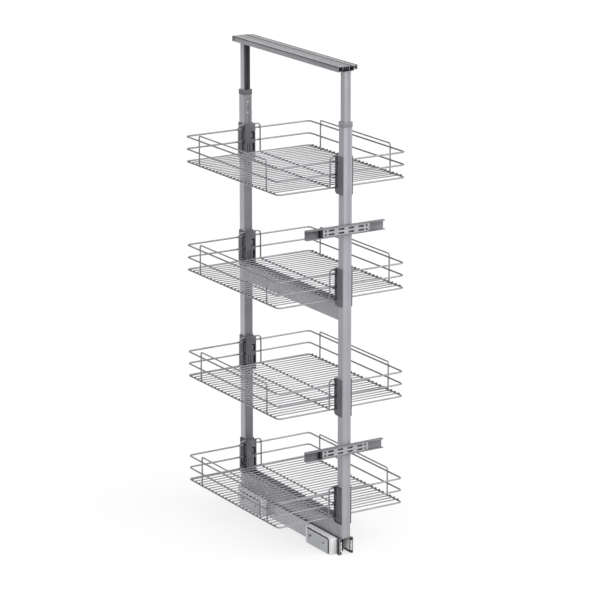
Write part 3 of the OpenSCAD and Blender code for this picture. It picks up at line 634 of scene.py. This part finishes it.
# a cut's walls take painted shade unless another finish is given
def cut(node, box, material=PAINTED_POCKET_SHADE):
    """A box to take out of the copy of a node."""
    CUTS.setdefault(node, []).append((Vector(box[0]), Vector(box[1]), material))


print("a cut without a finish of its own is lined with", PAINTED_POCKET_SHADE.name)

# %% [markdown]
# A holder is a clip moulded round the upright's open side. Its plate has a latch slot with two short
# arms above and a plain one below, and two upright lines. The side away from the latch has windows,
# and the side next to it is plain. The solid has windows in both, so fillers close the plain side's.
# The cuts could be drawn in the solid, but a box each is quicker to move while matching the picture.

# %% Where a holder's pockets may lie
RAIL_CLEAR = 4 * MM  # between a basket rail and the pockets over and under it


def spaces(k):
    """The heights from one rail of basket k to the next, less the clearance: lower, then upper."""
    rail_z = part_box(f"basket_{k}_rails")[0].z + RAIL / 2
    return [(rail_z + (i * rail_gap + RAIL_CLEAR), rail_z + ((i + 1) * rail_gap - RAIL_CLEAR))
            for i in range(RAIL_COUNT - 1)]


print("a pocket may be", round((rail_gap - 2 * RAIL_CLEAR) / MM, 1), "mm tall")

# %% Slots and lines in a holder's plate
PLATE, POCKET_BACK = 2 * MM, 0.55 * MM  # thickness of the plate, and of the dark floor behind it
LATCH, ARMS = (3 * MM, 8.7 * MM), (8.7 * MM, 13.2 * MM)  # counted inwards from the latch side
ARM_TALL = 3 * MM
UPPER_ENDS, LOWER_ENDS = (2 * MM, 4 * MM), (2 * MM, 1 * MM)  # kept clear below and above a slot
UPPER_FLOOR, LOWER_FLOOR = (2.5 * MM, 14.5 * MM), (2.5 * MM, 9.2 * MM)
FLOOR_PAST, LOWER_FLOOR_PAST = 1 * MM, 0.5 * MM  # how far a floor runs past its slot, and the lower one above
LINES, LINE_WIDE, LINE_DEPTH = (17.5 * MM, 24.5 * MM), 1.4 * MM, 0.7 * MM


def plate_cuts(node, s, lower, upper):
    """Notes the slots, dark floors and lines of a holder at the end s. Its plate faces inwards."""
    hold_low, hold_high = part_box(node)
    plate = hold_low.y if s > 0 else hold_high.y
    through = (plate - s * DEEP, plate + s * PLATE)
    behind = (plate + s * PLATE, plate + s * (PLATE + POCKET_BACK))
    upper_slot = (upper[0] + UPPER_ENDS[0], upper[1] - UPPER_ENDS[1])
    lower_slot = (lower[0] + LOWER_ENDS[0], lower[1] - LOWER_ENDS[1])

    def inwards(span):
        return [s * (hold_high.x - x) for x in span]

    cut(node, box_between(inwards(LATCH), through, upper_slot))
    cut(node, box_between(inwards(ARMS), through, (upper_slot[0], upper_slot[0] + ARM_TALL)))
    cut(node, box_between(inwards(ARMS), through, (upper_slot[1] - ARM_TALL, upper_slot[1])))
    cut(node, box_between(inwards(LATCH), through, lower_slot))
    for x in LINES:
        cut(node, box_between(inwards((x, x + LINE_WIDE)), (plate - s * DEEP, plate + s * LINE_DEPTH), lower))
    POCKET_FLOORS.append(box_between(
        inwards(UPPER_FLOOR), behind, (upper_slot[0] - FLOOR_PAST, upper_slot[1] + FLOOR_PAST)))
    POCKET_FLOORS.append(box_between(
        inwards(LOWER_FLOOR), behind, (lower_slot[0] - FLOOR_PAST, lower_slot[1] + LOWER_FLOOR_PAST)))


print("a latch slot is", round((LATCH[1] - LATCH[0]) / MM, 1), "mm wide")

# %% Windows in a holder's side
WINDOW = (1.5 * MM, 7 * MM)  # counted from the upright's open side
WINDOW_DEPTH, WINDOW_BACK, WINDOW_RIM = 1.75 * MM, 2.3 * MM, 0.5 * MM
FILLER_SKIN, FILLER_NEAR, FILLER_FAR, FILLER_RIM = 0.02 * MM, 1.2 * MM, 2.7 * MM, 0.3 * MM


def side_cuts(end, k, mouth):
    """Notes the windows of one side and the fillers of the other. mouth is the y of the open side."""
    s, node = ENDS[end], f"holder_{end}_{k}"
    hold_low, hold_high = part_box(node)
    side, far = hold_high.x, hold_high.y if s > 0 else hold_low.y
    for bottom, top in spaces(k):
        cut(node, box_between((-s * (side - WINDOW_DEPTH), -s * (side + DEEP)),
                              (mouth + s * WINDOW[0], mouth + s * WINDOW[1]), (bottom, top)))
        POCKET_FLOORS.append(box_between(
            (-s * (side - WINDOW_DEPTH), -s * (side - WINDOW_BACK)),
            (mouth + s * (WINDOW[0] - WINDOW_RIM), mouth + s * (WINDOW[1] + WINDOW_RIM)),
            (bottom - WINDOW_RIM, top + WINDOW_RIM)))
        CLOSED_SIDES[end].append(box_between(
            (s * (side - WINDOW_BACK), s * (side - FILLER_SKIN)),
            (mouth + s * FILLER_NEAR, far - s * FILLER_FAR), (bottom - FILLER_RIM, top + FILLER_RIM)))


print("a window is", round((WINDOW[1] - WINDOW[0]) / MM, 1), "mm wide")

# %% Uprights and their holders
CHANNEL_HALF, CHANNEL_DEPTH = 4 * MM, 0.5 * MM
for end, s in ENDS.items():
    tube_low, tube_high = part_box(f"upright_outer_{end}")
    face, mouth = (tube_low.y, tube_high.y) if s < 0 else (tube_high.y, tube_low.y)
    cut(f"upright_outer_{end}", box_between(
        (-CHANNEL_HALF, CHANNEL_HALF), (face - s * CHANNEL_DEPTH, face + s * DEEP),
        (tube_low.z - DEEP, tube_high.z + DEEP)), PAINTED_LIGHT_OUTER_COAT)
    for k in BASKETS:
        plate_cuts(f"holder_{end}_{k}", s, *spaces(k))
        side_cuts(end, k, mouth)
print("cuts in", len(CUTS), "pieces, and", len(POCKET_FLOORS), "pocket floors")

# %% Brackets and top rail
BODY_GROOVES, BODY_GROOVE_HALF, BODY_GROOVE_DEPTH = 3, 0.7 * MM, 0.5 * MM
for end in ENDS:
    body_low, body_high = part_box(f"bracket_body_{end}")
    for i in range(1, BODY_GROOVES + 1):
        x = body_low.x + (body_high.x - body_low.x) * i / (BODY_GROOVES + 1)
        cut(f"bracket_body_{end}", box_between(
            (x - BODY_GROOVE_HALF, x + BODY_GROOVE_HALF),
            (body_low.y - DEEP, body_low.y + BODY_GROOVE_DEPTH),
            (body_low.z - DEEP, body_high.z + DEEP)), PLASTICS["white_plastic"])
TOP_GROOVE_X, TOP_GROOVE_WIDE, TOP_GROOVE_DEPTH = 10.5 * MM, 3 * MM, 1.8 * MM
TOP_EDGE_STEP = 4 * MM  # a groove this far in from the right edge leaves a step
SIDE_GROOVE, SIDE_GROOVE_DEPTH = (0.7 * MM, 2.7 * MM), 1 * MM  # counted down from the top
rail_low, rail_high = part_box("top_rail")
whole_length = (rail_low.y - DEEP, rail_high.y + DEEP)
for x in (TOP_GROOVE_X, rail_high.x - TOP_EDGE_STEP):
    cut("top_rail", box_between((x, x + TOP_GROOVE_WIDE), whole_length,
                                (rail_high.z - TOP_GROOVE_DEPTH, rail_high.z + DEEP)))
# the side groove's walls take painted shade
cut("top_rail", box_between((rail_low.x - DEEP, rail_low.x + SIDE_GROOVE_DEPTH), whole_length,
                            [rail_high.z - down for down in SIDE_GROOVE]), PAINTED_GROOVE_SHADE)
print("fine cuts:", sum(len(boxes) for boxes in CUTS.values()), "in", len(CUTS), "pieces")


# %% The cutter of a node
def cutter(node):
    """All the cuts of a node, one closed box each, in one object."""
    shape = bmesh.new()
    finishes = []
    for corner_low, corner_high, material in CUTS[node]:
        if material not in finishes:
            finishes.append(material)
        for face in add_box(shape, corner_low, corner_high):
            face.material_index = finishes.index(material)
    return stand("cutter", mesh_from(shape, "cutter", *finishes))


print("the most cuts in one piece:", max(len(boxes) for boxes in CUTS.values()))

# %% [markdown]
# ## Eased edges
#
# Nothing that is rolled, pressed or moulded has a knife edge, and a rendered edge only looks real
# when it catches a line of light. The solids give exact shapes with sharp edges. Each is copied, its
# loose triangles are merged into whole faces, the fine cuts are made, and a Bevel modifier takes a
# few tenths of a millimetre off the sharp edges. Both only cut inwards, so no piece grows.

# %% A copy with its edges eased
SAME_POINT = 0.002 * MM
FLAT, SHARP = math.radians(0.5), math.radians(30)


def eased(node, width):
    """A copy of a node, with its fine cuts made and its sharp edges taken off."""
    shape = bmesh.new()
    shape.from_mesh(frame["nodes"][node].data)
    bmesh.ops.remove_doubles(shape, verts=shape.verts, dist=SAME_POINT)
    bmesh.ops.dissolve_limit(shape, angle_limit=FLAT, verts=shape.verts, edges=shape.edges)
    for face in shape.faces:
        face.smooth = True
    carrier = stand(node, mesh_from(shape, node, finish_of[node]))
    tool = cutter(node) if node in CUTS else None
    if tool:
        fine = carrier.modifiers.new("fine cuts", "BOOLEAN")
        fine.object, fine.operation, fine.solver = tool, "DIFFERENCE", "EXACT"
        fine.use_self, fine.material_mode = True, "TRANSFER"
    bevel = carrier.modifiers.new("eased", "BEVEL")
    bevel.width, bevel.segments, bevel.limit_method = width, 2, "ANGLE"
    bevel.angle_limit = SHARP
    bevel.use_clamp_overlap = True
    bevel.harden_normals = True
    piece = plain_mesh(carrier, f"{node}_eased")
    if tool:
        bpy.data.objects.remove(tool)
    return piece


print("edges sharper than", round(math.degrees(SHARP)), "degrees are eased")

# %% Everything that isn't wire
EASING = {  # millimetres, by the start of a node's name
    "upright_outer": 0.3, "upright_inner": 0.25, "crossbar": 0.3, "runner": 0.25, "floor_runner": 0.25,
    "bracket": 0.3, "bracket_body": 0.6, "collar": 0.4, "locking": 0.2, "holder": 0.35, "top_bar": 0.3,
    "roller": 0.15, "guide_roller": 0.3, "top_rail": 0.12, "top_rail_end_cap": 0.3, "door": 0.25,
}
body_of = {name: body for body, names in frame["record"]["behaviour"]["bodies"].items() for name in names}
triangles = 0
for name in sorted(frame["nodes"]):
    kinds = [start for start in EASING if name.startswith(start)]
    if kinds:
        piece = eased(name, EASING[max(kinds, key=len)] * MM)
        settle(piece, body_of[name], slot_of[name], name)
        triangles += sum(len(face.vertices) - 2 for face in piece.data.polygons)
print("eased pieces have", triangles, "triangles")

# %% [markdown]
# ## Small parts in and beside the solids
#
# Behind each pocket lies a dark floor, which is the shadow inside the clip. From the upright's side
# it is plain nylon, so that face is light. The left rail of the floor runner ends in a black
# cheek, and the gaskets behind the brackets' plates bulge a little past them. A solid for each would
# be more than the eye needs, so they are thin bands, or a few points of an eased copy moved.

# %% Pocket floors and fillers
FACING = 0.9  # a face looks along an axis when its normal has more than this share of it
THIN_EASE = 0.05 * MM  # for boxes that sit close between other walls
# the dark floors are painted shade behind the slots and windows
pocket_floors = band("holder_pocket_floors", POCKET_FLOORS, THIN_EASE, PAINTED_POCKET_SHADE)
pocket_floors.data.materials.append(PLASTICS["light_grey_plastic"])
for face in pocket_floors.data.polygons:
    if face.normal.y * face.center.y > FACING * abs(face.center.y):
        face.material_index = 1
settle(pocket_floors, "frame", "black_plastic")
# the front fillers carry painted shade, the back ones plain nylon
for end, shade in (("front", SHADED_NYLON), ("back", PLASTICS["grey_plastic"])):
    settle(band(f"holder_{end}_closed_sides", CLOSED_SIDES[end], THIN_EASE, shade), "frame", "grey_plastic")
print("pocket floors:", len(POCKET_FLOORS), "and fillers:", sum(map(len, CLOSED_SIDES.values())))

# %% Cheek
CHEEK_T, CHEEK_LONG, CHEEK_EASE = 1.2 * MM, 9 * MM, 0.2 * MM
runner_low, runner_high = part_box("floor_runner")
cheek_box = ((runner_low.x - CHEEK_T, runner_low.y, 0),
             (runner_low.x, runner_low.y + CHEEK_LONG, runner_high.z))
cheek = band("runner_cheek", [cheek_box], CHEEK_EASE, PLASTICS["black_plastic"])
settle(cheek, "base", "black_plastic")
print("cheek:", round(CHEEK_LONG / MM, 1), "by", round(runner_high.z / MM, 1), "mm")

# %% Gaskets
GASKET_BULGE = 0.8 * MM
BULGE_Y, BULGE_Z = 42 * MM, 12 * MM  # from a gasket's middle to where it bulges
moved = 0
for end in ENDS:
    middle = sum(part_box(f"bracket_gasket_{end}"), Vector()) / 2
    for vertex in bpy.data.objects[f"bracket_gasket_{end}_eased"].data.vertices:
        off = vertex.co - middle
        if abs(off.y) > BULGE_Y:
            vertex.co.y += math.copysign(GASKET_BULGE, off.y)
        if off.z > BULGE_Z:
            vertex.co.z += GASKET_BULGE
            moved += 1
print("points raised on the gaskets:", moved)

# %% [markdown]
# ## Faces with a finish of their own
#
# Some faces of a piece carry painted shade or painted light: the inside of the open channels, the
# sides of the uprights that face each other, the grooves of the top rail. They could be painted on,
# but each is a whole face of the mesh, so it is picked by where it lies in the piece's own box and
# by the way its normal points.

# %% Giving chosen faces a finish
def dress(name, material, chosen):
    """Gives a finish to the faces of an eased piece for which chosen(centre, normal) is true."""
    mesh = bpy.data.objects[f"{name}_eased"].data
    mesh.materials.append(material)
    slot, count = len(mesh.materials) - 1, 0
    for face in mesh.polygons:
        if chosen(face.center, face.normal):
            face.material_index = slot
            count += 1
    print(count, "faces of", name, "are", material.name)


# %% Faces of the uprights
WALL = 1.4 * MM  # just less than the sheet
SLANT = 0.5  # a face looks away from an axis when its normal has less than this share of it
ON_FACE = 0.1 * MM  # a face this near to a plane lies on it
LEFT_OF = {"inner": -9 * MM, "outer": -12 * MM}  # a tube's left side lies beyond this
for end, s in ENDS.items():
    inner_low, inner_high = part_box(f"upright_inner_{end}")
    closed = inner_high.y if s > 0 else inner_low.y
    # painted shade inside the inner uprights' open channels
    dress(f"upright_inner_{end}", PAINTED_CHANNEL_SHADE, lambda c, n: abs(n.z) < SLANT
          and abs(c.x) < inner_high.x - WALL and s * c.y < s * closed - WALL)
    outer_low, outer_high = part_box(f"upright_outer_{end}")
    near = outer_low.y if s > 0 else outer_high.y
    # painted shade on the outer uprights' sides that face the other end
    dress(f"upright_outer_{end}", FACING_SIDE_SHADE, lambda c, n: n.y * s < -FACING and abs(c.y - near) < ON_FACE)
# painted light on the left faces of the back uprights
for tube, limit in LEFT_OF.items():
    dress(f"upright_{tube}_back", PAINTED_LIGHT_COAT, lambda c, n: n.x < -FACING and c.x < limit)

# %% Faces of the holders
SIDE_SKIN, WINDOW_SKIN = 0.2 * MM, 2 * MM  # how deep a side's faces lie, without and with its windows
SLOT_WALLS = (0.5 * MM, 2.6 * MM)  # how deep the slots' walls lie behind the plate's face
CLEAR_SIDE, CLEAR_FOOT, CLEAR_HEAD = 2 * MM, 22 * MM, 5 * MM  # from the holder's own outline
for end, s in ENDS.items():
    for k in BASKETS:
        name = f"holder_{end}_{k}"
        hold_low, hold_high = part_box(name)
        plate = hold_low.y if s > 0 else hold_high.y
        # painted shade on the holders' window sides
        dress(name, PAINTED_SHADE_HOLDER_SIDE, lambda c, n: n.x * s < -FACING and hold_high.x + s * c.x < SIDE_SKIN)
        if s < 0:
            # painted shade on the front holders' plain sides
            dress(name, SHADED_NYLON, lambda c, n: n.x < -FACING and hold_high.x + c.x < WINDOW_SKIN)
        # painted shade on the walls of the latch slots
        dress(name, PAINTED_POCKET_SHADE, lambda c, n: (
            abs(n.y) < SLANT and SLOT_WALLS[0] < s * (c.y - plate) < SLOT_WALLS[1]
            and abs(c.x) < hold_high.x - CLEAR_SIDE
            and hold_low.z + CLEAR_FOOT < c.z < hold_high.z - CLEAR_HEAD))

# %% Faces of the top rail
GROOVE_FLOOR = (0.3 * MM, 1.2 * MM)  # under the top, where the solid's own grooves have their floor
GROOVE_FROM = 2 * MM  # from the left side
SIDE_WALLS, SIDE_HEIGHTS = (0.2 * MM, 1.2 * MM), (0.5 * MM, 3 * MM)
# painted shade on the top rail's left side
dress("top_rail", RAIL_SIDE_SHADE, lambda c, n: n.x < -FACING and c.x - rail_low.x < ON_FACE)
# painted shade on the floors of the top rail's grooves and in its side groove
dress("top_rail", PAINTED_GROOVE_SHADE, lambda c, n: (
    GROOVE_FLOOR[0] < rail_high.z - c.z < GROOVE_FLOOR[1]
    and c.x > rail_low.x + GROOVE_FROM)
    or (SIDE_WALLS[0] < c.x - rail_low.x < SIDE_WALLS[1]
        and SIDE_HEIGHTS[0] < rail_high.z - c.z < SIDE_HEIGHTS[1]))

# %% Faces of the runner
WEB = 2 * MM  # from the right side in, where the inner web lies
# painted light on the runner's inner web
dress("floor_runner", PAINTED_LIGHT_ZINC, lambda c, n: n.x < -FACING and c.x > 0 and runner_high.x - c.x < WEB)
# painted shade on the runner's front faces
dress("floor_runner", PAINTED_GROOVE_SHADE, lambda c, n: n.y < -FACING and c.x > 0)
# painted light on the middle runners' left and front faces
dress("runner_mids", PAINTED_LIGHT_ZINC, lambda c, n: n.x < -FACING or n.y < -FACING)
# painted shade on the carriage's sides and underside
dress("runner_carriage", PAINTED_POCKET_SHADE, lambda c, n: n.z < SLANT)
# painted light on the carriage's right inner wall
dress("runner_carriage", PAINTED_LIGHT_ZINC, lambda c, n: n.x < -FACING and c.x > 0)

# %% [markdown]
# ## Studio light
#
# The photograph is a plain product shot on white. Two very soft suns light it: the key from the
# front right, and a weaker fill from the left, so that fronts are about as bright as their colour
# is written and left sides are a fifth darker. A sun has no fall-off, so the floor is even too.
# The world gives the rest. To the camera it is white. Chrome sees a studio: white behind the unit,
# as in the picture, a bright ceiling, and grey walls that give each wire its darker body.

# %% Suns
def sun(name, towards, level, spread):
    """A sun that adds level to a white surface that faces it, and is spread degrees wide."""
    lamp = bpy.data.lights.new(name, "SUN")
    lamp.energy = math.pi * level
    lamp.angle = math.radians(spread)
    stand(name, lamp).rotation_euler = Vector(towards).to_track_quat("Z", "Y").to_euler()


sun("key", (0.45, -0.75, 0.65), level=0.52, spread=75)
sun("fill", (-0.80, -0.30, 0.60), level=0.30, spread=90)
print("lamps:", ", ".join(lamp.name for lamp in bpy.data.lights))

# %% World
AMBIENT = 0.55  # what matt surfaces get from all round
WALL_GREY = 0.30  # what metal sees at its own height
CEILING_FROM, CEILING_FULL = 0.05, 0.75  # sines of the heights where the wall ends and the ceiling is white
BACKDROP_FROM, BACKDROP_FULL = 0.72, 0.95  # about the cosines of the angles to the line of sight
world = bpy.data.worlds.new("studio")
bpy.context.scene.world = world
world.use_nodes = True
sky = world.node_tree
sky.nodes.clear()
direction = add_node(sky, "ShaderNodeTexCoord").outputs["Generated"]
height = add_node(sky, "ShaderNodeSeparateXYZ", {0: direction}).outputs["Z"]
walls = add_node(sky, "ShaderNodeMapRange", {
    "Value": height, "From Min": CEILING_FROM, "From Max": CEILING_FULL,
    "To Min": WALL_GREY, "To Max": 1.0}, interpolation_type="SMOOTHSTEP")
behind = add_node(sky, "ShaderNodeVectorMath", {
    0: direction, 1: (sight.x, sight.y, 0.0)}, operation="DOT_PRODUCT")
backdrop = add_node(sky, "ShaderNodeMapRange", {
    "Value": behind.outputs["Value"], "From Min": BACKDROP_FROM, "From Max": BACKDROP_FULL,
    "To Min": 0.0, "To Max": 1.0})
studio = add_node(sky, "ShaderNodeMix", {
    0: backdrop.outputs[0], 2: walls.outputs[0], 3: 1.0}, data_type="FLOAT")
light = add_node(sky, "ShaderNodeBackground", {"Strength": AMBIENT})
seen_in_gloss = add_node(sky, "ShaderNodeBackground", {"Strength": studio.outputs[0]})
white = add_node(sky, "ShaderNodeBackground", {"Strength": 1.0})
for shade in (light, seen_in_gloss, white):
    shade.inputs[0].default_value = (1, 1, 1, 1)
rays = add_node(sky, "ShaderNodeLightPath")
gloss = add_node(sky, "ShaderNodeMath", {
    0: rays.outputs["Is Glossy Ray"], 1: rays.outputs["Is Transmission Ray"]}, operation="MAXIMUM")
not_camera = add_node(sky, "ShaderNodeMixShader", {
    0: gloss.outputs[0], 1: light.outputs[0], 2: seen_in_gloss.outputs[0]})
shown = add_node(sky, "ShaderNodeMixShader", {
    0: rays.outputs["Is Camera Ray"], 1: not_camera.outputs[0], 2: white.outputs[0]})
add_node(sky, "ShaderNodeOutputWorld", {0: shown.outputs[0]})
bpy.context.scene.view_settings.view_transform = "Standard"
print("world:", world.name)

# %% [markdown]
# ## The floor
#
# A pale floor that meets a white background without a line. It keeps the unit's soft shadow, but
# more than half of what the camera sees of it glows white, so the shadow stays as faint as in the picture.
# Light that bounces off it is held back to a pale grey, so that it doesn't wash out the undersides.

# %% Floor
FLOOR_HALF = 30
GLOW, GLOW_SHARE = 1.05, 0.6
floor_mesh = bpy.data.meshes.new("floor")
floor_corners = [(x * FLOOR_HALF, y * FLOOR_HALF, 0) for x, y in ((-1, -1), (1, -1), (1, 1), (-1, 1))]
floor_mesh.from_pydata(floor_corners, [], [(0, 1, 2, 3)])
floor = stand("floor", floor_mesh)
pale, tree = blank_material("pale_studio_floor")
rays = add_node(tree, "ShaderNodeLightPath")
either = add_node(tree, "ShaderNodeMath", {
    0: rays.outputs["Is Glossy Ray"], 1: rays.outputs["Is Transmission Ray"]}, operation="MAXIMUM")
seen = add_node(tree, "ShaderNodeMath", {
    0: rays.outputs["Is Camera Ray"], 1: either.outputs[0]}, operation="MAXIMUM")
bounce = add_node(tree, "ShaderNodeBsdfDiffuse", {"Color": colour("#BCBCBC")})
paper = add_node(tree, "ShaderNodeBsdfDiffuse", {"Color": colour("#FDFDFD")})
glow = add_node(tree, "ShaderNodeEmission", {"Color": (1, 1, 1, 1), "Strength": GLOW})
soft = add_node(tree, "ShaderNodeMixShader", {0: GLOW_SHARE, 1: paper.outputs[0], 2: glow.outputs[0]})
both = add_node(tree, "ShaderNodeMixShader", {0: seen.outputs[0], 1: bounce.outputs[0], 2: soft.outputs[0]})
add_node(tree, "ShaderNodeOutputMaterial", {"Surface": both.outputs[0]})
floor_mesh.materials.append(pale)
print("floor:", 2 * FLOOR_HALF, "m across")
